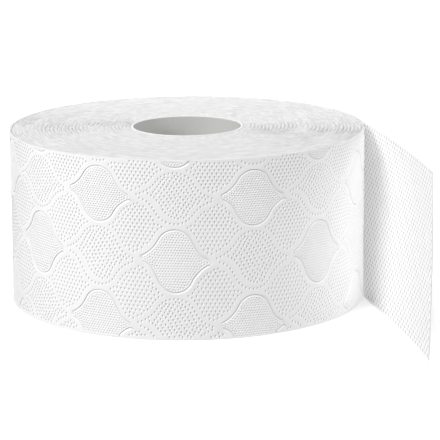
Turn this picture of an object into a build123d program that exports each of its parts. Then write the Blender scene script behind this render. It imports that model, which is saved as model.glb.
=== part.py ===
from build123d import *
from math import ceil, degrees, floor, radians, sqrt, tan
import os

# A mini jumbo roll of embossed toilet paper, stood on one end, with its free end pulled off.
# The roll's axis is Z, its lower end lies on z = 0, and the free end hangs off at +X towards -Y.

# Paper: a two-ply web, wound on the core
roll_d = 190.0
sheet_w = 92.0
sheet_t = 0.4

# Cardboard core
core_d = 60.0
core_wall = 1.2

# Free end of the web: where it leaves the roll, its length and the slight curl that it keeps. Its
# embossed face clings to the turn below for a few millimetres more.
peel_angle = 10.5
tail_l = 149.0
tail_curl_r = 2500.0
cling_l = 6.0

# Turns seen on both ends: bands of them, recessed and flush in turn, spiral inwards. The outermost
# turns and those next to the core lie flush all the way round.
turn_band = 13.0
band_step_d = 0.5
outer_flush_w = 4.0
inner_flush_w = 3.5

# Embossed figure: an onion shape with blunt side points, pressed in a little
figure_d = 0.3
crown_r = 9.3
crown_half_angle = 62.5
crown_rise = 15.1
long_flare_r = 18.4
long_flare_turn = 41.0
short_flank_l = 5.2
short_flare_r = 9.8
short_flare_turn = 50.0

# Lattice of the figures: every other column is half a pitch up, and the rows climb a little
figure_pitch = 80.4
row_pitch = 64.0
row_climb = 1.35
front_figure_s = 463.9
front_figure_z = 71.2

# Room that a cutting shape has beyond the surface that it cuts
cut_room = 1.0

roll_r = roll_d / 2
core_r = core_d / 2
os.makedirs("parts", exist_ok=True)


def direction(angle):
    """A level unit vector at this angle round the roll's axis."""
    return Vector(1, 0, 0).rotate(Axis.Z, angle)


peel_plan = Plane((0, 0, 0), x_dir=direction(peel_angle), z_dir=(0, 0, 1))
peel_section = Plane((0, 0, 0), x_dir=direction(peel_angle), z_dir=direction(peel_angle - 90))


def outer_turn(inset):
    """The roll seen from above, inset by this much: each half turn lies half a sheet further in."""
    with BuildSketch(peel_plan) as outline:
        with BuildLine():
            CenterArc((0, 0), roll_r - inset, 0, 180)
            CenterArc((-sheet_t / 2, 0), roll_r - sheet_t / 2 - inset, 180, 180)
            Line((roll_r - sheet_t - inset, 0), (roll_r - inset, 0))
        make_face()
    return outline.sketch


def wall_plane(distance, height):
    """A plane on the outer turn, this far round from the peel line, that faces outwards."""
    outward = direction(peel_angle + degrees(distance / roll_r))
    return Plane(outward * roll_r + Vector(0, 0, height), x_dir=outward.rotate(Axis.Z, 90), z_dir=outward)


# Core
with BuildPart() as core_tube:
    with BuildSketch():
        Circle(core_r)
        Circle(core_r - core_wall, mode=Mode.SUBTRACT)
    extrude(amount=sheet_w)

# What the recessed bands take out of the upper end: a spiral, in two half turns about two axes
spiral_r = roll_r - outer_flush_w
recess_count = ceil((spiral_r - core_r) / (2 * turn_band))
recess_radii = [spiral_r - (2 * recess + 0.5) * turn_band for recess in range(recess_count)]
with BuildPart() as recessed_bands:
    for side, axis_x in ((1, 0), (-1, -turn_band)):
        with BuildSketch(peel_section):
            with Locations([(side * radius, sheet_w) for radius in recess_radii]):
                Rectangle(turn_band, 2 * band_step_d)
        revolve(axis=Axis(direction(peel_angle) * axis_x, (0, 0, 1)), revolution_arc=180)
    with BuildSketch(Plane.XY.offset(sheet_w)):
        Circle(core_r + inner_flush_w)
    extrude(amount=band_step_d, both=True, mode=Mode.SUBTRACT)

# Upper half of the embossed figure: a crown between a long flare and a short one
with BuildSketch() as half_figure:
    with BuildLine():
        crown_start = 90 - crown_half_angle
        crown = CenterArc((0, crown_rise - crown_r), crown_r, crown_start, 2 * crown_half_angle)
        long_flare = JernArc(crown @ 1, crown % 1, long_flare_r, -long_flare_turn)
        flank = Line(crown @ 0, crown @ 0 - crown % 0 * short_flank_l)
        short_flare = JernArc(flank @ 1, flank % 1, short_flare_r, short_flare_turn)
        Polyline([short_flare @ 1, long_flare @ 1 * -1, long_flare @ 1])
    make_face()

# Places of the figures, counted from one in front. Along the web they lie whole between the peel line
# and the next turn; at its edges they are cut off, and those that would only nick it are left out.
half_box = half_figure.sketch.bounding_box()
figure_half_l = max(half_box.max.X, -half_box.min.X)
turn_l = radians(360) * roll_r
column_pitch = figure_pitch / 2
first_column = ceil((figure_half_l - front_figure_s) / column_pitch)
last_column = floor((turn_l - figure_half_l - front_figure_s) / column_pitch)
figure_planes = []
for column in range(first_column, last_column + 1):
    along = column * column_pitch
    height = front_figure_z - along * tan(radians(row_climb)) + (column % 2) * row_pitch / 2
    lowest_row = ceil((-crown_rise / 2 - height) / row_pitch)
    highest_row = floor((sheet_w + crown_rise / 2 - height) / row_pitch)
    for row in range(lowest_row, highest_row + 1):
        figure_planes.append(wall_plane(front_figure_s + along, height + row * row_pitch))

# What the figures take out of the outer turn
figure_reach = roll_r - sqrt(roll_r**2 - figure_half_l**2) + sheet_t + cut_room
with BuildSketch() as outer_skin:
    add(outer_turn(-cut_room))
    add(outer_turn(figure_d), mode=Mode.SUBTRACT)

with BuildPart() as pressed_figures:
    with BuildSketch(*figure_planes):
        with PolarLocations(0, 2):
            add(half_figure.sketch)
    extrude(amount=figure_reach, both=True)
    extrude(outer_skin.sketch, amount=sheet_w, mode=Mode.INTERSECT)

# Paper: the wound web and its free end, with the bands of turns on both ends and the figures outside
with BuildPart() as paper_roll:
    extrude(outer_turn(0), amount=sheet_w)
    with BuildSketch(peel_plan):
        curl_centre = (roll_r - tail_curl_r, 0)
        tail_turn = -degrees(tail_l / tail_curl_r)
        with BuildLine():
            outer = CenterArc(curl_centre, tail_curl_r, 0, tail_turn)
            inner = CenterArc(curl_centre, tail_curl_r - sheet_t, 0, tail_turn)
            Line(outer @ 0, inner @ 0)
            Line(outer @ 1, inner @ 1)
        make_face()
        with Locations((roll_r - sheet_t / 2, 0)):
            Rectangle(cling_l, cling_l, align=(Align.MAX, Align.MAX))
    extrude(amount=sheet_w)
    with BuildSketch():
        Circle(core_r)
    extrude(amount=sheet_w, mode=Mode.SUBTRACT)
    add(recessed_bands.part, mode=Mode.SUBTRACT)
    mirror(recessed_bands.part, about=Plane.XY.offset(sheet_w / 2), mode=Mode.SUBTRACT)
    add(pressed_figures.part, mode=Mode.SUBTRACT)

core_tube.part.label = "core_tube"
paper_roll.part.label = "paper_roll"
export_step(core_tube.part, "parts/core_tube.step")
export_step(paper_roll.part, "parts/paper_roll.step")
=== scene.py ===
from math import cos, pi, radians, sin

import bpy
import numpy as np
from mathutils import Matrix, Vector, noise
from mathutils.geometry import delaunay_2d_cdt


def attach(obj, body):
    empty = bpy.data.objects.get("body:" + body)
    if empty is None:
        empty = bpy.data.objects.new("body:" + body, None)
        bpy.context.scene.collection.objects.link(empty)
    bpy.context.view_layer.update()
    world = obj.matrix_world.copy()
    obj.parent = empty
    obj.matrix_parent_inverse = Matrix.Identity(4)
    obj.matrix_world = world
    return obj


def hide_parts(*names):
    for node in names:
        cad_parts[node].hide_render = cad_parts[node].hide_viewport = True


# A mini jumbo roll of embossed toilet paper, stood on one end. The roll's axis is Z and its lower
# end lies on z = 0. The free end of the web hangs off at +X and comes forward, towards -Y.
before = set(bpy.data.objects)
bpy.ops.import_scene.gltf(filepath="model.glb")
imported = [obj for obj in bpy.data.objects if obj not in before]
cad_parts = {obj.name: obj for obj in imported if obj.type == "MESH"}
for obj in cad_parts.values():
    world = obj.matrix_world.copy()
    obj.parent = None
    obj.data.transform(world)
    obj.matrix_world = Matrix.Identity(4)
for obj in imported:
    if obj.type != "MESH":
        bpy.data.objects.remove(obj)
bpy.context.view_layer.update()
bpy.ops.object.select_all(action="DESELECT")


# Core: a tube of grey card, wound from two strips and glued, then sawn off square at both ends.
# The sawn rims are a little rounded and show the paler pulp inside the card, which fades in
# between pulp_from and pulp_full below the rim.
core_r = 0.030
core_wall = 0.0012
core_rim_round = 0.00025
core_sides = 192
sheet_w = 0.092
card_grey = "#BFBFBE"
card_fleck = "#B4B4B2"
card_fibre = 0.0009
sawn_pulp = "#DEDEDC"
pulp_from, pulp_full = 0.0006, 0.0002


def linear(hex_colour):
    """A colour for a shader, from its sRGB hex value."""
    parts = [int(hex_colour[i : i + 2], 16) / 255 for i in (1, 3, 5)]
    return [c / 12.92 if c <= 0.04045 else ((c + 0.055) / 1.055) ** 2.4 for c in parts] + [1.0]


def add_node(tree, kind, settings, inputs):
    """Adds a node, with its settings and with a value or a link for each of its inputs named.
    Inputs that share a name go by number: the two colours of a Mix node are 6 and 7."""
    made = tree.nodes.new("ShaderNode" + kind)
    for name, value in settings.items():
        setattr(made, name, value)
    for name, value in inputs.items():
        if isinstance(value, bpy.types.NodeSocket):
            tree.links.new(value, made.inputs[name])
        else:
            made.inputs[name].default_value = value
    return made


def new_material(name):
    """An empty material with its output node."""
    material = bpy.data.materials.new(name)
    material.use_nodes = True
    material.node_tree.nodes.clear()
    return material, material.node_tree, add_node(material.node_tree, "OutputMaterial", {}, {})


bpy.ops.mesh.primitive_cylinder_add(
    vertices=core_sides, radius=core_r, depth=sheet_w, end_fill_type="NOTHING",
    location=(0, 0, sheet_w / 2),
)
core = bpy.context.object
core.name = "card_core"
bpy.ops.object.transform_apply(location=True)
wall = core.modifiers.new("wall", "SOLIDIFY")
wall.thickness = core_wall
wall.offset = -1
rim = core.modifiers.new("rim", "BEVEL")
rim.width = core_rim_round
rim.segments = 3
rim.limit_method = "ANGLE"
for modifier in ("wall", "rim"):
    bpy.ops.object.modifier_apply(modifier=modifier)
bpy.ops.object.shade_smooth_by_angle(angle=radians(50))

# Grey board: matt, with short fibres that show as a faint fleck.
cardboard, tree, output = new_material("grey_board")
place = add_node(tree, "TexCoord", {}, {}).outputs["Object"]
fibres = add_node(
    tree, "TexNoise", {},
    {"Vector": place, "Scale": 1 / card_fibre, "Detail": 3.0, "Roughness": 0.6},
)
fleck = add_node(
    tree, "Mix", {"data_type": "RGBA"},
    {"Factor": fibres.outputs["Fac"], 6: linear(card_fleck), 7: linear(card_grey)},
)
height = add_node(tree, "SeparateXYZ", {}, {"Vector": place}).outputs["Z"]
near_rim = add_node(
    tree, "MapRange", {},
    {"Value": height, "From Min": sheet_w - pulp_from, "From Max": sheet_w - pulp_full},
)
card_colour = add_node(
    tree, "Mix", {"data_type": "RGBA"},
    {"Factor": near_rim.outputs["Result"], 6: fleck.outputs[2], 7: linear(sawn_pulp)},
)
card_relief = add_node(
    tree, "Bump", {}, {"Height": fibres.outputs["Fac"], "Strength": 0.25, "Distance": 0.0002}
)
card = add_node(
    tree, "BsdfPrincipled", {},
    {"Base Color": card_colour.outputs[2], "Roughness": 0.85, "Specular IOR Level": 0.25,
     "Normal": card_relief.outputs["Normal"]},
)
tree.links.new(card.outputs["BSDF"], output.inputs["Surface"])
core.data.materials.append(cardboard)
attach(core, "root")
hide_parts("core_tube")


# Wound paper: some four hundred turns of the two-ply web, wound tight on the core and then sawn to
# width as one log. The turns stand a little uneven, and show on both ends as wavy rings. A real
# turn is under 0.2 mm, too fine to show, so the rings are drawn about ten times as coarse.
roll_r = 0.095
sheet_t = 0.0004
cover_turns = 3
peel_angle = radians(10.5)
ring_pitch = 0.00205
steps_per_ring = 4
ring_segments = 336

# Their outside comes in by one sheet over a turn, and is back out where the next turn begins. The
# sawn end falls off a little towards it.
joint_from, joint_turn = radians(352), radians(8)
rim_dip = 0.00035
rim_dip_w = 0.0007

# How low each point of the sawn end lies, as a share of ring_height: the ridges waver and their
# strength changes, with roughness and a slow drift added. They stand out most on the left and on
# the right. Each noise has its rate along a turn, its rate across the turns, and its start.
ring_height = 0.0006
ring_noise = {
    "wave": (2.2, 60, 0, 0),
    "ripple": (9, 300, 5, 0),
    "strength": (3, 90, 0, 7),
    "rough": (45, 1400, 0, 0),
    "drift": (1.5, 45, 3, 3),
}
waver, ripple_share = 2.6, 0.5
strength_mean, strength_change, strength_least = 0.6, 0.8, 0.1
sides_mean, sides_more, sides_power = 0.7, 1.2, 6
low_mean, ridge_share, rough_share, drift_share, low_most = 0.5, 0.5, 0.3, 0.35, 1.6

ring_count = round((roll_r - cover_turns * sheet_t - core_r) / ring_pitch * steps_per_ring)
bpy.ops.mesh.primitive_grid_add(x_subdivisions=ring_count, y_subdivisions=ring_segments, size=1)
wound = bpy.context.object
wound.name = "wound_paper"
flat = np.empty(len(wound.data.vertices) * 3)
wound.data.vertices.foreach_get("co", flat)
flat = flat.reshape(-1, 3) + 0.5
around = flat[:, 1] * 2 * pi
joint = np.clip((around - joint_from) / joint_turn, 0, 1)
outside = roll_r - cover_turns * sheet_t - sheet_t * (around / (2 * pi)) * (1 - joint)
radius = core_r + flat[:, 0] * (outside - core_r)
shape = np.empty_like(flat)
for i, (a, r) in enumerate(zip(around, radius)):
    ring = Vector((cos(a), sin(a), 0.0))
    wave, ripple, strength, rough, drift = (
        noise.noise(ring * rate_along + Vector((x, y, r * rate_across)))
        for rate_along, rate_across, x, y in ring_noise.values()
    )
    strength = max(strength_least, strength_mean + strength_change * strength)
    crest = sin(2 * pi * r / ring_pitch + waver * (wave + ripple_share * ripple))
    sides = sides_mean + sides_more * cos(a + peel_angle) ** sides_power
    relief = rough_share * rough - ridge_share * crest * strength
    low = low_mean + sides * relief + drift_share * drift
    dip = max(0.0, 1 - (outside[i] - r) / rim_dip_w)
    shape[i] = (
        r * cos(a + peel_angle), r * sin(a + peel_angle),
        sheet_w - ring_height * min(max(low, 0.0), low_most) - rim_dip * dip,
    )
wound.data.vertices.foreach_set("co", shape.ravel())
bpy.ops.object.mode_set(mode="EDIT")
bpy.ops.mesh.select_all(action="SELECT")
bpy.ops.mesh.remove_doubles(threshold=1e-6)
bpy.ops.mesh.region_to_loop()
bpy.ops.mesh.extrude_region_move()
bpy.ops.object.mode_set(mode="OBJECT")
# The walls run down to half the width, and the other end is a mirror of this one.
for corner in wound.data.vertices:
    if corner.select:
        corner.co.z = sheet_w / 2
other_end = wound.modifiers.new("other_end", "MIRROR")
other_end.use_axis = (False, False, True)
middle = bpy.data.objects.new("middle", None)
middle.location = (0, 0, sheet_w / 2)
bpy.context.scene.collection.objects.link(middle)
other_end.mirror_object = middle
other_end.merge_threshold = 1e-6
bpy.ops.object.modifier_apply(modifier="other_end")
bpy.data.objects.remove(middle)
bpy.ops.object.mode_set(mode="EDIT")
bpy.ops.mesh.select_all(action="SELECT")
bpy.ops.mesh.normals_make_consistent(inside=False)
bpy.ops.object.mode_set(mode="OBJECT")
bpy.ops.object.shade_smooth_by_angle(angle=radians(40))

# Tissue: bleached fibre, quite matt, with a faint mottle and a nap of crossed fibres, drawn coarser
# than real ones. In its dents it is greyed, a little as plies pressed together and mostly as
# painted shade, darkest on their steep upper-left side. The attribute pressed says how much, and
# below zero it gives a painted highlight on the gentle slope beside a dent.
paper_white = "#ECECEC"
paper_shade = "#E7E7E7"
# The white of the painted highlight beside the dents, also the colour of light through the single
# web.
highlight_and_through_white = "#FFFFFF"
# Painted shade for the dents, a little of it the grey of bonded plies.
bonded_and_painted_shade = "#5C5C5C"
mottles_per_m = 70.0
fibre_size = 0.0005

tissue, tree, output = new_material("tissue")
place = add_node(tree, "TexCoord", {}, {}).outputs["Object"]
mottle = add_node(tree, "TexNoise", {}, {"Vector": place, "Scale": mottles_per_m, "Detail": 2.0})
tone = add_node(
    tree, "Mix", {"data_type": "RGBA"},
    {"Factor": mottle.outputs["Fac"], 6: linear(paper_shade), 7: linear(paper_white)},
)
bond_and_painted_light = add_node(tree, "Attribute", {"attribute_name": "pressed"}, {})
# Below zero the attribute gives the painted highlight.
painted_highlight_share = add_node(tree, "Math", {"operation": "MULTIPLY"}, {0: bond_and_painted_light.outputs["Fac"], 1: -1.0})
tone = add_node(
    tree, "Mix", {"data_type": "RGBA"},
    {"Factor": painted_highlight_share.outputs[0], 6: tone.outputs[2], 7: linear(highlight_and_through_white)},
)
# Then the painted shade of the dents, partly the grey of bonded plies.
tone = add_node(
    tree, "Mix", {"data_type": "RGBA"},
    {"Factor": bond_and_painted_light.outputs["Fac"], 6: tone.outputs[2], 7: linear(bonded_and_painted_shade)},
)
tone.name = "dent_tone"
nap = add_node(
    tree, "TexNoise", {},
    {"Vector": place, "Scale": 1 / fibre_size, "Detail": 4.0, "Roughness": 0.65},
)
nap_relief = add_node(
    tree, "Bump", {}, {"Height": nap.outputs["Fac"], "Strength": 0.25, "Distance": 0.00012}
)
paper = add_node(
    tree, "BsdfPrincipled", {},
    {"Base Color": tone.outputs[2], "Roughness": 0.95, "Specular IOR Level": 0.15,
     "Normal": nap_relief.outputs["Normal"]},
)
tree.links.new(paper.outputs["BSDF"], output.inputs["Surface"])

# Sawn tissue: the same paper seen edge on, in fine lines that run with the turns and waver a
# little. They too are drawn coarser than the real turns. Both its tones are darker than the
# paper's own, as painted shade on the sawn ends.
# Painted shade: both tones sit below the paper's own white.
shaded_edge_pale = "#DADADA"
shaded_edge_dark = "#C2C2C2"
streak_w = 0.0016
streak_waver = 11.0
streaks_from, streaks_full = 0.3, 0.7

sawn_tissue, tree, output = new_material("sawn_tissue")
place = add_node(tree, "TexCoord", {}, {}).outputs["Object"]
level = add_node(tree, "VectorMath", {"operation": "MULTIPLY"}, {0: place, 1: (1.0, 1.0, 0.0)})
heading = add_node(tree, "VectorMath", {"operation": "NORMALIZE"}, {0: level.outputs[0]})
from_axis = add_node(tree, "VectorMath", {"operation": "LENGTH"}, {0: level.outputs[0]})
turns = add_node(
    tree, "Math", {"operation": "MULTIPLY"}, {0: from_axis.outputs["Value"], 1: 1 / streak_w}
)
across_turns = add_node(tree, "CombineXYZ", {}, {"Z": turns.outputs[0]})
turn_place = add_node(
    tree, "VectorMath", {"operation": "MULTIPLY_ADD"},
    {0: heading.outputs[0], 1: [streak_waver] * 3, 2: across_turns.outputs["Vector"]},
)
turn_lines = add_node(
    tree, "TexNoise", {},
    {"Vector": turn_place.outputs[0], "Scale": 1.0, "Detail": 3.0, "Roughness": 0.6},
)
clear_lines = add_node(
    tree, "MapRange", {},
    {"Value": turn_lines.outputs["Fac"], "From Min": streaks_from, "From Max": streaks_full},
)
line_tone = add_node(
    tree, "Mix", {"data_type": "RGBA"},
    {"Factor": clear_lines.outputs["Result"], 6: linear(shaded_edge_dark), 7: linear(shaded_edge_pale)},
)
turn_relief = add_node(
    tree, "Bump", {},
    {"Height": clear_lines.outputs["Result"], "Strength": 0.4, "Distance": 0.0003},
)
sawn = add_node(
    tree, "BsdfPrincipled", {},
    {"Base Color": line_tone.outputs[2], "Roughness": 0.95, "Specular IOR Level": 0.15,
     "Normal": turn_relief.outputs["Normal"]},
)
tree.links.new(sawn.outputs["BSDF"], output.inputs["Surface"])
wound.data.materials.append(sawn_tissue)
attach(wound, "root")
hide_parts("paper_roll")


# Outer turn: the last turns of the web, pressed between a steel roll with raised points and a
# rubber one. Every other onion figure is drawn with two thin strokes and filled with fine dents,
# and the rest is coarse dents. Sizes are in mm, along the web from the peel line and up.
mm_per_m = 1000

# It is two pieces that meet at seam_s, and its sawn edges are rounded a little.
seam_s = 272.0
rim_round = 0.12

# The lattice of the figures, counted from a drawn one in front, how far its rows climb, and how
# the web has stretched up and down.
column_pitch, row_pitch = 40.2, 32.0
front_s, front_z = 463.9, 71.2
rows_each_way = 4
row_climb = radians(1.35)
stretch, stretch_from, stretch_l = 1.3, 32, 45

# The figure: a crown, with a long flare on its left and a short flank and flare on its right.
crown_rise, crown_r, crown_half = 15.1, 9.3, radians(62.5)
long_flare_r, long_flare_turn = 18.4, radians(41)
flank_l, short_flare_r, short_flare_turn = 5.2, 9.8, radians(50)
outline_step = 0.5

# Dents: their spacing, radius, depth and sides, and how grey they are, a little as bonded plies and
# mostly as painted shade.
coarse = {"spacing": 2.12, "r": 0.8, "depth": 0.15, "sides": 7, "grey": 1.0}
fine = {"spacing": 1.42, "r": 0.54, "depth": 0.4, "sides": 6, "grey": 0.85}
dent_room = 0.2

# The raised points press hardest with one side. So there is a steep side, greyed with painted
# shade, and a gentle slope opposite with a painted highlight, as if lit from the upper left. Each
# line of
# dent_feet is a point inside a dent: how many times steep_side it lies off the centre, in radii,
# and its shares of the depth and of the painted shade, which below zero is painted highlight.
steep_side = np.array([-0.3, 0.3])
dent_feet = [(1.7, 0.6, 1.0), (0.7, 1.0, 0.8), (-1.0, 0.55, -2.2)]

# Strokes: half their width, the level strip beside them, their room from the web's edges and the
# step along them. Then their depth, its share at their ends, and how deep they are and how grey
# with painted shade where they run with the steep side, and how much more across it. Last, the
# painted highlight on their gentle side, and how gentle that has to be for a strip.
stroke = {
    "half": 0.55, "strip": 0.35, "room": 0.1, "step": 0.85, "depth": 0.42, "end_depth": 0.6,
    "depth_share": (0.55, 0.45), "grey": (0.16, 0.3), "white": -1.0, "strip_from": 0.3,
}
tiny = 1e-9


def arc(centre, radius, start, turn, step):
    """Points along an arc."""
    count = max(2, round(abs(turn) * radius / step))
    angles = start + turn * np.linspace(0, 1, count + 1)
    return np.array(centre) + radius * np.stack([np.cos(angles), np.sin(angles)], 1)


def upper_stroke(step):
    """The figure's upper stroke, from its left side point to its right one."""
    crown = arc((0, crown_rise - crown_r), crown_r, pi / 2 + crown_half, -2 * crown_half, step)
    toward = pi / 2 - crown_half
    left_centre = crown[0] + long_flare_r * np.array([cos(pi - toward), sin(pi - toward)])
    left = arc(left_centre, long_flare_r, -toward - long_flare_turn, long_flare_turn, step)
    down = np.array([sin(toward), -cos(toward)])
    flank_end = crown[-1] + down * flank_l
    right_centre = flank_end + short_flare_r * np.array([cos(toward), sin(toward)])
    right = arc(right_centre, short_flare_r, pi + toward, short_flare_turn, step)
    flank_count = max(1, round(flank_l / step))
    flank = crown[-1] + down * flank_l * np.linspace(0, 1, flank_count + 1)[1:-1, None]
    return np.concatenate([left[:-1], crown, flank, right])


def outline(scale):
    """The figure's whole outline, scaled."""
    half = upper_stroke(outline_step)
    return np.concatenate([half, -half]) * scale


def clearance(points, edge, inside):
    """How far each point lies on the wanted side of a closed edge, and which way is further in."""
    apart = points[:, None] - edge[None]
    far = np.hypot(apart[..., 0], apart[..., 1])
    nearest = far.argmin(1)
    gap = far[np.arange(len(points)), nearest]
    away = apart[np.arange(len(points)), nearest] / np.maximum(gap, tiny)[:, None]
    ahead = np.roll(edge, -1, 0)
    spans = (edge[None, :, 1] > points[:, None, 1]) != (ahead[None, :, 1] > points[:, None, 1])
    rise = np.where(ahead[:, 1] == edge[:, 1], tiny, ahead[:, 1] - edge[:, 1])
    cross = edge[:, 0] + (points[:, None, 1] - edge[:, 1]) * (ahead[:, 0] - edge[:, 0]) / rise
    within = (spans & (points[:, None, 0] < cross)).sum(1) % 2 == 1
    side = np.where(within == inside, 1.0, -1.0)
    return gap * side, away * side[:, None]


# How loose dots settle, in spacings: the rows' height, how unevenly they start and how far past a
# wall, how far each one pushes its neighbours and how hard, and for how many rounds. A dot counts
# as far off from itself, so that it doesn't push itself.
settle = {"row": 0.866, "uneven": 0.3, "past": 0.2, "reach": 1.15, "push": 0.3, "rounds": 40}
far_off = 9
uneven = np.random.default_rng(7)


def spread(walls, reach, spacing):
    """Loose rows of dots that push each other apart inside walls, and so line up along them."""
    across = np.arange(-reach[0], reach[0], spacing)
    up = np.arange(-reach[1], reach[1], spacing * settle["row"])
    dots = np.array([(x + (j % 2) * spacing / 2, y) for j, y in enumerate(up) for x in across])
    dots = dots + uneven.uniform(-settle["uneven"], settle["uneven"], dots.shape) * spacing
    for edge, inside, room in walls:
        dots = dots[clearance(dots, edge, inside)[0] > room - spacing * settle["past"]]
    for _ in range(settle["rounds"]):
        apart = dots[:, None] - dots[None]
        far = np.hypot(apart[..., 0], apart[..., 1]) + np.eye(len(dots)) * far_off
        push = np.clip(settle["reach"] * spacing - far, 0, None) / far
        dots = dots + settle["push"] * (apart * push[..., None]).sum(1)
        for edge, inside, room in walls:
            gap, inward = clearance(dots, edge, inside)
            dots = dots + inward * np.clip(room - gap, 0, None)[:, None]
    return dots


def along(line, spacing, start):
    """Evenly spaced points along a line."""
    run = np.concatenate([[0], np.cumsum(np.hypot(*np.diff(line, axis=0).T))])
    at = np.arange(start, run[-1], spacing)
    return np.stack([np.interp(at, run, line[:, k]) for k in (0, 1)], 1)


# A drawn figure is filled with fine dots that keep clear of its strokes.
figure_reach = (18, 16)
fine_room = 1.3
figure_edge = outline((1, 1))
pitch = np.array([column_pitch, row_pitch])
fine_dots = spread([(figure_edge, True, fine_room)], figure_reach, fine["spacing"])

# A plain figure is a little longer and lower, with a ring of dots round it. Inside, its dots run in
# S-shaped rows. Each is a copy of the upper right edge, which starts at a share of the upper half
# and runs on past its end, moved towards the lower left edge.
plain_scale = (1.075, 0.92)
ring_gap, flow_gap = 2.1, 1.9
right_from, right_past = 0.36, (6.5, -3.5)
flow_rows, flow_uneven, flow_room = 10, 0.25, 1.5
plain_edge = outline(plain_scale)
edge_dots = along(np.vstack([plain_edge, plain_edge[:1]]), ring_gap, 0)[:-1]
half = plain_edge[: len(plain_edge) // 2]
right_edge = half[int(len(half) * right_from) :]
right_edge = np.vstack([right_edge, right_edge[-1] + right_past])
left_tip, top = plain_edge[0], half[half[:, 1].argmax()]
flow_dots = np.concatenate([
    along(right_edge + (left_tip - top) * k / flow_rows, flow_gap, flow_gap / 2 * (k % 2))
    for k in range(1, flow_rows)
])
flow_dots = flow_dots + uneven.uniform(-flow_uneven, flow_uneven, flow_dots.shape)
flow_dots = flow_dots[clearance(flow_dots, plain_edge, True)[0] > flow_room]
plain_dots = np.concatenate([edge_dots, flow_dots])

# The cells between the figures keep a plain lane along them.
lane = 3.2
cell_reach = pitch / 2 + (0, 1)


def between_dots(low_left, low_right):
    """The dots of the cell between four figures, whose lower two have these outlines."""
    corners = ((-1, -1, low_left), (1, -1, low_right), (-1, 1, low_right), (1, 1, low_left))
    walls = [(edge + pitch / 2 * (x, y), False, lane) for x, y, edge in corners]
    return spread(walls, cell_reach, coarse["spacing"])


between = [between_dots(figure_edge, plain_edge), between_dots(plain_edge, figure_edge)]


def on_web(points):
    """Places on the web, from places on the even lattice: its rows climb, and it is stretched."""
    z = points[:, 1] - (points[:, 0] - front_s) * np.tan(row_climb)
    return np.stack([points[:, 0], z + stretch * np.sin(pi * (z - stretch_from) / stretch_l)], 1)


def pattern(s_low, s_high):
    """The dents and the strokes of the stretch of the web between two places along it."""
    dents, strokes = [], []
    first = int(np.floor((s_low - front_s) / column_pitch)) - 1
    last = int(np.ceil((s_high - front_s) / column_pitch)) + 1
    for column in range(first, last + 1):
        for row in range(-rows_each_way, rows_each_way + 1):
            centre = np.array([front_s, front_z]) + pitch * (column, row)
            drawn = (column + row) % 2 == 0
            if drawn:
                dents.append((on_web(centre + fine_dots), fine))
                half = upper_stroke(stroke["step"])
                strokes += [on_web(centre + half), on_web(centre - half)]
            else:
                dents.append((on_web(centre + plain_dots), coarse))
            dents.append((on_web(centre + pitch / 2 + between[0 if drawn else 1]), coarse))
    return dents, strokes


# The bare paper between the dents: how far apart its points are along the web and up it, and how
# far they keep from a stretch's start and lower edge, and from its end and upper edge.
edge_step = 1.6
fill_step = (1.9, 1.7)
fill_from, fill_to = (1.2, 1.4), (2.0, 1.0)
same_point, no_area = 1e-5, 1e-7


def triangulated(points):
    """Triangles between flat points, all of them anticlockwise."""
    found = delaunay_2d_cdt([Vector(p) for p in points.tolist()], [], [], 0, same_point)
    back = np.array([source[0] for source in found[3]])
    faces = back[np.array(found[2])]
    a, b, c = (points[faces[:, k]] for k in range(3))
    area = (b[:, 0] - a[:, 0]) * (c[:, 1] - a[:, 1]) - (c[:, 0] - a[:, 0]) * (b[:, 1] - a[:, 1])
    faces[area < 0] = faces[area < 0][:, ::-1]
    return faces[np.abs(area) > no_area]


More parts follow.
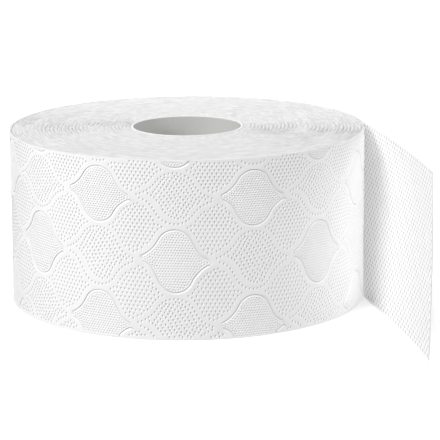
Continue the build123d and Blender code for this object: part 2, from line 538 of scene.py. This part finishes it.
def pressed_face(s_low, s_high, dents, strokes):
    """A flat face of the web with its dents: points (s, z, depth, greyness), triangles, and how
    many points go round its edge, which come first and run anticlockwise."""
    low, high = rim_round, sheet_w * mm_per_m - rim_round
    lengthwise = np.linspace(s_low, s_high, round((s_high - s_low) / edge_step) + 1)
    upward = np.linspace(low, high, round((high - low) / edge_step) + 1)
    edge = np.concatenate([
        np.stack([lengthwise[:-1], np.full(len(lengthwise) - 1, low)], 1),
        np.stack([np.full(len(upward) - 1, s_high), upward[:-1]], 1),
        np.stack([lengthwise[:0:-1], np.full(len(lengthwise) - 1, high)], 1),
        np.stack([np.full(len(upward) - 1, s_low), upward[:0:-1]], 1),
    ])
    parts = [np.column_stack([edge, np.zeros((len(edge), 2))])]

    def clear_of_edge(points, room):
        return (
            (points[:, 0] > s_low + room) & (points[:, 0] < s_high - room)
            & (points[:, 1] > low + room) & (points[:, 1] < high - room)
        )

    for centres, kind in dents:
        tall = kind.get("tall", 1.0)
        centres = centres[clear_of_edge(centres, kind["r"] * tall + dent_room)]
        if not len(centres):
            continue
        if "flat" in kind:
            feet, rings = [(0, 1.0, 1.0)], [(kind["r"], 0.0), (kind["flat"], 1.0)]
        else:
            feet, rings = dent_feet, [(kind["r"], 0.0)]
        spots = [
            (centres + steep_side * kind["r"] * shift, deep, grey) for shift, deep, grey in feet
        ]
        for radius, deep in rings:
            for side in range(kind["sides"]):
                turn = 2 * pi * side / kind["sides"]
                off = radius * np.array([cos(turn), tall * sin(turn)])
                spots.append((centres + off, deep, deep))
        # grey is each point's share of painted shade, and below zero of painted highlight.
        for spot, deep, grey in spots:
            level = np.tile([kind["depth"] * deep, kind["grey"] * grey], (len(spot), 1))
            parts.append(np.column_stack([spot, level]))

    for line in strokes:
        ahead = np.gradient(line, axis=0)
        normal = np.stack([-ahead[:, 1], ahead[:, 0]], 1) / np.hypot(*ahead.T)[:, None]
        keep = clear_of_edge(line, stroke["half"] + stroke["strip"] + stroke["room"])
        keep[[0, -1]] = False
        if not keep.any():
            continue
        held = np.concatenate([[False], keep, [False]])
        ends = keep & ~(held[:-2] & held[2:])
        # Strokes that run across the steep side are greyer with painted shade, as if lit from the
        # upper left.
        facing = normal @ steep_side / np.hypot(*steep_side)
        across = np.abs(facing)
        least, more = stroke["depth_share"]
        deep = np.where(ends, stroke["end_depth"], 1.0) * stroke["depth"] * (least + more * across)
        least, more = stroke["grey"]
        shift = steep_side * stroke["half"] * (~ends)[:, None]
        parts.append(np.column_stack([line + shift, deep, least + more * across])[keep])
        for side in (-1, 1):
            # The lip on the gentle side gets a painted highlight.
            gentle = np.clip(-side * facing, 0, 1)
            lip = line + side * stroke["half"] * normal
            white = stroke["white"] * gentle**2 * ~ends
            parts.append(np.column_stack([lip, 0 * gentle, white])[keep])
            beyond = line + side * (stroke["half"] + stroke["strip"]) * normal
            beside = keep & (gentle > stroke["strip_from"])
            parts.append(np.column_stack([beyond, np.zeros((len(beyond), 2))])[beside])

    # A bare point keeps out of the square millimetres that hold another point, and those beside.
    made = np.concatenate(parts)
    taken = set(map(tuple, np.floor(made[:, :2]).astype(int)))
    around = [(i, j) for i in (-1, 0, 1) for j in (-1, 0, 1)]
    fill = [
        (s + (j % 2) * fill_step[0] / 2, z, 0.0, 0.0)
        for j, z in enumerate(np.arange(low + fill_from[1], high - fill_to[1], fill_step[1]))
        for s in np.arange(s_low + fill_from[0], s_high - fill_to[0], fill_step[0])
    ]
    fill = [
        p for p in fill
        if not any((int(p[0] // 1) + i, int(p[1] // 1) + j) in taken for i, j in around)
    ]
    if fill:
        made = np.concatenate([made, fill])
    return made, triangulated(made[:, :2]), len(edge)


def closed_sheet(name, outer, inner, thickness, place, finish):
    """A sheet of paper with a pressed outer face and an inner one, joined all round by a rounded
    rim. place(s, z, depth) says where a point of the web lies."""
    points, faces, count = outer
    back_points, back_faces, _ = inner
    middle = sheet_w * mm_per_m / 2
    widen = middle / (middle - rim_round)
    lip = points[:count].copy()
    lip[:, 1] = middle + (lip[:, 1] - middle) * widen
    lip[:, 2] = rim_round
    back = back_points.copy()
    back[:, 1] = middle + (back[:, 1] - middle) * widen
    back[:, 2] = thickness - back[:, 2]
    spot = np.concatenate([points, lip, back])
    first_lip, first_back = len(points), len(points) + count
    here = np.arange(count)
    after = np.roll(here, -1)
    rim = [
        np.stack([b + after, b + here, t + here, t + after], 1)
        for b, t in ((0, first_lip), (first_lip, first_back))
    ]
    where = place(spot[:, 0], spot[:, 1], spot[:, 2]) / mm_per_m
    polygons = faces.tolist() + np.concatenate(rim).tolist()
    polygons += (back_faces[:, ::-1] + first_back).tolist()
    mesh = bpy.data.meshes.new(name)
    mesh.from_pydata(where.tolist(), [], polygons)
    # The attribute pressed holds the painted shade of the dents, and below zero their painted
    # highlight.
    pressed = mesh.attributes.new("pressed", "FLOAT", "POINT")
    greyness = np.concatenate([points[:, 3], lip[:, 3], back_points[:, 3]])
    pressed.data.foreach_set("value", greyness)
    sheet = bpy.data.objects.new(name, mesh)
    bpy.context.scene.collection.objects.link(sheet)
    bpy.ops.object.select_all(action="DESELECT")
    bpy.context.view_layer.objects.active = sheet
    sheet.select_set(True)
    bpy.ops.object.shade_smooth_by_angle(angle=radians(30))
    for skin in (finish, sawn_tissue):
        mesh.materials.append(skin)
    skins = np.zeros(len(mesh.polygons), dtype=np.int32)
    skins[len(faces) + count : len(faces) + 2 * count] = 1
    mesh.polygons.foreach_set("material_index", skins)
    return sheet


def on_roll(s, z, depth):
    """Where a point of the outer turn lies. It comes one sheet further in after a full turn."""
    angle = s / (roll_r * mm_per_m)
    radius = (roll_r - sheet_t * angle / (2 * pi)) * mm_per_m - depth
    angle = angle + peel_angle
    return np.stack([radius * np.cos(angle), radius * np.sin(angle), z], 1)


def bare_face(face):
    """The plain inner face of a stretch of the web, with the same edge."""
    edge = face[0][: face[2]].copy()
    edge[:, 2] = 0
    return edge, triangulated(edge[:, :2]), face[2]


turn_l = 2 * pi * roll_r * mm_per_m
for name, s_low, s_high in (("outer_turn_rear", 0.0, seam_s), ("outer_turn_front", seam_s, turn_l)):
    face = pressed_face(s_low, s_high, *pattern(s_low, s_high))
    cover_t = cover_turns * sheet_t * mm_per_m
    turn = closed_sheet(name, face, bare_face(face), cover_t, on_roll, tissue)
    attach(turn, "root")
    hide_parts("paper_roll")


# Free end: the same web, pulled off the roll. Its lower edge clings to the roll for longer than the
# upper one, so it leans a little, and it keeps a slight curl. Its inner ply is pressed with a plain
# even grid of dents that are taller than wide and level inside.
free_l = 150.7
outer_relief = 0.09
grid_step = (2.28, 2.15)
grid_dent = {"r": 0.8, "tall": 1.3, "flat": 0.5, "depth": 0.27, "sides": 8, "grey": 1.0}
# Painted shade for the free end's dents.
grid_painted_shade = "#909090"
light_through = 0.1

# At the lower edge and at the upper one: its length, how much of it clings to the roll, its
# heading away from there in degrees, and how many of these it loses in 100 mm. It bends from the
# roll to that heading over bend_l. The path that it follows runs on a little past its end.
free_edges = {
    "length": (154.1, 147.3), "cling": (23.0, 0.0), "lift": (12.85, 13.1), "curl": (3.1, 4.9),
}
bend_l = 13.0
free_steps, free_rows = 400, 24
path_spare = 1.02


def free_path():
    """The free end seen from above, at even heights: its places and its headings."""
    reach = np.linspace(0, path_spare, free_steps + 1)
    places, headings = [], []
    for row in range(free_rows + 1):
        up = row / free_rows
        length, cling, lift, curl = (a + (b - a) * up for a, b in free_edges.values())
        run = reach * length
        off = np.clip((run - cling) / bend_l, 0, 1)
        off = off * off * (3 - 2 * off)
        clinging = peel_angle - run / (roll_r * mm_per_m)
        heading = clinging * (1 - off) + radians(1) * (lift - curl * run / 100) * off
        middle = (heading[1:] + heading[:-1]) / 2
        step = np.diff(run)
        right = np.concatenate([[0], np.cumsum(np.sin(middle) * step)])
        forward = np.concatenate([[0], np.cumsum(np.cos(middle) * step)])
        x = roll_r * mm_per_m * cos(peel_angle) + right
        y = roll_r * mm_per_m * sin(peel_angle) - forward
        places.append(np.stack([x, y], 1))
        headings.append(heading)
    return np.array(places), np.array(headings)


free_places, free_headings = free_path()


def on_free_end(s, z, depth):
    """Where a point of the free end lies. It lies before the peel line, so s is below zero."""
    row = np.clip(z / (sheet_w * mm_per_m), 0, 1) * free_rows
    step = np.clip(-s / free_l, 0, 1) / path_spare * free_steps
    i = np.minimum(row.astype(int), free_rows - 1)
    j = np.minimum(step.astype(int), free_steps - 1)
    u, v = (row - i), (step - j)

    def blended(table):
        shape = (-1,) + (1,) * (table.ndim - 2)
        a, b = u.reshape(shape), v.reshape(shape)
        return (
            table[i, j] * (1 - a) * (1 - b) + table[i + 1, j] * a * (1 - b)
            + table[i, j + 1] * (1 - a) * b + table[i + 1, j + 1] * a * b
        )

    spot, heading = blended(free_places), blended(free_headings)
    outward = np.stack([np.cos(heading), np.sin(heading)], 1)
    return np.column_stack([spot - outward * depth[:, None], z])


# The outer face carries the pattern on, as low relief that the thin web has room for.
free_dents, free_strokes = pattern(-free_l, 0.0)
free_dents = [(dots, dict(kind, depth=outer_relief)) for dots, kind in free_dents]
outer_face = pressed_face(-free_l, 0.0, free_dents, free_strokes)
outer_face[0][:, 2] = np.minimum(outer_face[0][:, 2], outer_relief)
grid = np.array([
    (-free_l + i * grid_step[0], j * grid_step[1])
    for i in range(int(free_l / grid_step[0]) + 1)
    for j in range(int(sheet_w * mm_per_m / grid_step[1]) + 1)
    if (i + j) % 2 == 0
])
inner_face = pressed_face(-free_l, 0.0, [(grid, grid_dent)], [])

# Single web: the same tissue, but with light behind it, and some of that comes through.
single_web = tissue.copy()
single_web.name = "single_web"
tree = single_web.node_tree
# The free end's dents take their own painted shade.
tree.nodes["dent_tone"].inputs[7].default_value = linear(grid_painted_shade)
paper = next(node for node in tree.nodes if node.type == "BSDF_PRINCIPLED")
output = next(node for node in tree.nodes if node.type == "OUTPUT_MATERIAL")
through = add_node(tree, "BsdfTranslucent", {}, {"Color": linear(highlight_and_through_white)})
lit = add_node(
    tree, "MixShader", {},
    {0: light_through, 1: paper.outputs["BSDF"], 2: through.outputs["BSDF"]},
)
tree.links.new(lit.outputs["Shader"], output.inputs["Surface"])
free_end = closed_sheet(
    "free_end", outer_face, inner_face, sheet_t * mm_per_m, on_free_end, single_web
)
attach(free_end, "root")
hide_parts("paper_roll")


# Floor: a plain white sweep that keeps the object's soft shadow. For the eye alone it is lifted to
# white, less near the roll, where the shadow lies, than further out.
floor_size = 12
floor_white = "#AAAAAA"
seen_white = "#E2E2E2"
near_lift, far_lift = 0.15, 1.0
near_r, far_r = 0.1, 0.25


def seen_rays(tree):
    """1 for what the eye sees straight, in a gloss or through something clear, and otherwise 0."""
    ray = add_node(tree, "LightPath", {}, {}).outputs
    seen = ray["Is Camera Ray"]
    for other in ("Is Glossy Ray", "Is Transmission Ray"):
        seen = add_node(tree, "Math", {"operation": "MAXIMUM"}, {0: seen, 1: ray[other]}).outputs[0]
    return seen


bpy.ops.mesh.primitive_plane_add(size=floor_size, location=(0, 0, 0))
floor = bpy.context.object
floor.name = "floor"
sweep, tree, output = new_material("floor_sweep")
seen = seen_rays(tree)
floor_tone = add_node(
    tree, "Mix", {"data_type": "RGBA"},
    {"Factor": seen, 6: linear(floor_white), 7: linear(seen_white)},
)
matt = add_node(tree, "BsdfDiffuse", {}, {"Color": floor_tone.outputs[2]})
place = add_node(tree, "TexCoord", {}, {}).outputs["Object"]
from_roll = add_node(tree, "VectorMath", {"operation": "LENGTH"}, {0: place}).outputs["Value"]
lift = add_node(
    tree, "MapRange", {},
    {"Value": from_roll, "From Min": near_r, "From Max": far_r,
     "To Min": near_lift, "To Max": far_lift},
)
lift = add_node(tree, "Math", {"operation": "MULTIPLY"}, {0: seen, 1: lift.outputs["Result"]})
glow = add_node(tree, "Emission", {}, {"Strength": lift.outputs[0]})
both = add_node(tree, "AddShader", {}, {0: matt.outputs[0], 1: glow.outputs[0]})
tree.links.new(both.outputs[0], output.inputs["Surface"])
floor.data.materials.append(sweep)


# Light: wide soft boxes at the left, at the right and above, a small one close behind, and a dim
# pale room. Each box has its angles round and up, its distance, its size and its power.
aim_z = 0.05
room_dim = 0.2
for name, azimuth, elevation, distance, size, power in (
    ("left_box", -50, 30, 3.0, 1.4, 73.0),
    ("right_box", 82, 21, 3.0, 1.4, 45.0),
    ("top_box", -18, 62, 3.0, 1.4, 31.0),
    ("back_box", 180, 35, 0.5, 0.25, 1.1),
):
    lamp = bpy.data.lights.new(name, "AREA")
    lamp.shape = "SQUARE"
    lamp.size = size
    lamp.energy = power
    box = bpy.data.objects.new(name, lamp)
    a, e = radians(azimuth), radians(elevation)
    box.location = (
        distance * sin(a) * cos(e), -distance * cos(a) * cos(e), distance * sin(e) + aim_z
    )
    box.rotation_euler = (Vector((0, 0, aim_z)) - box.location).to_track_quat("-Z", "Y").to_euler()
    box.visible_camera = False
    bpy.context.scene.collection.objects.link(box)

# The right box lights the roll through the free end, as if the single web were clear.
see_through = bpy.data.collections.new("see_through")
see_through.objects.link(free_end)
see_through.collection_objects[0].light_linking.link_state = "EXCLUDE"
bpy.data.objects["right_box"].light_linking.blocker_collection = see_through

room = bpy.data.worlds.new("room")
room.use_nodes = True
tree = room.node_tree
tree.nodes.clear()
dim = add_node(tree, "Background", {}, {"Color": (1, 1, 1, 1), "Strength": room_dim})
white = add_node(tree, "Background", {}, {"Color": (1, 1, 1, 1), "Strength": 1.0})
mixed = add_node(
    tree, "MixShader", {}, {0: seen_rays(tree), 1: dim.outputs[0], 2: white.outputs[0]}
)
add_node(tree, "OutputWorld", {}, {"Surface": mixed.outputs[0]})
bpy.context.scene.world = room
bpy.context.scene.view_settings.view_transform = "Standard"


# Camera: a long lens in front, a little above the roll, fitted to the outlines in the photograph.
camera = bpy.data.cameras.new("camera")
camera.lens = 172.86
camera.sensor_width = 36
camera.clip_start = 0.05
camera.clip_end = 20
eye = (0, -1.11245, 0.29564)
right = Vector((0.99983746, -0.01693678, -0.00618091))
up = Vector((0.00981699, 0.22387159, 0.97456921))
ahead = Vector((0.01512233, 0.97447148, -0.22400147))
view = bpy.data.objects.new("camera", camera)
turned = Matrix((right, up, -ahead)).transposed().to_4x4()
view.matrix_world = Matrix.Translation(eye) @ turned
bpy.context.scene.collection.objects.link(view)
bpy.context.scene.camera = view
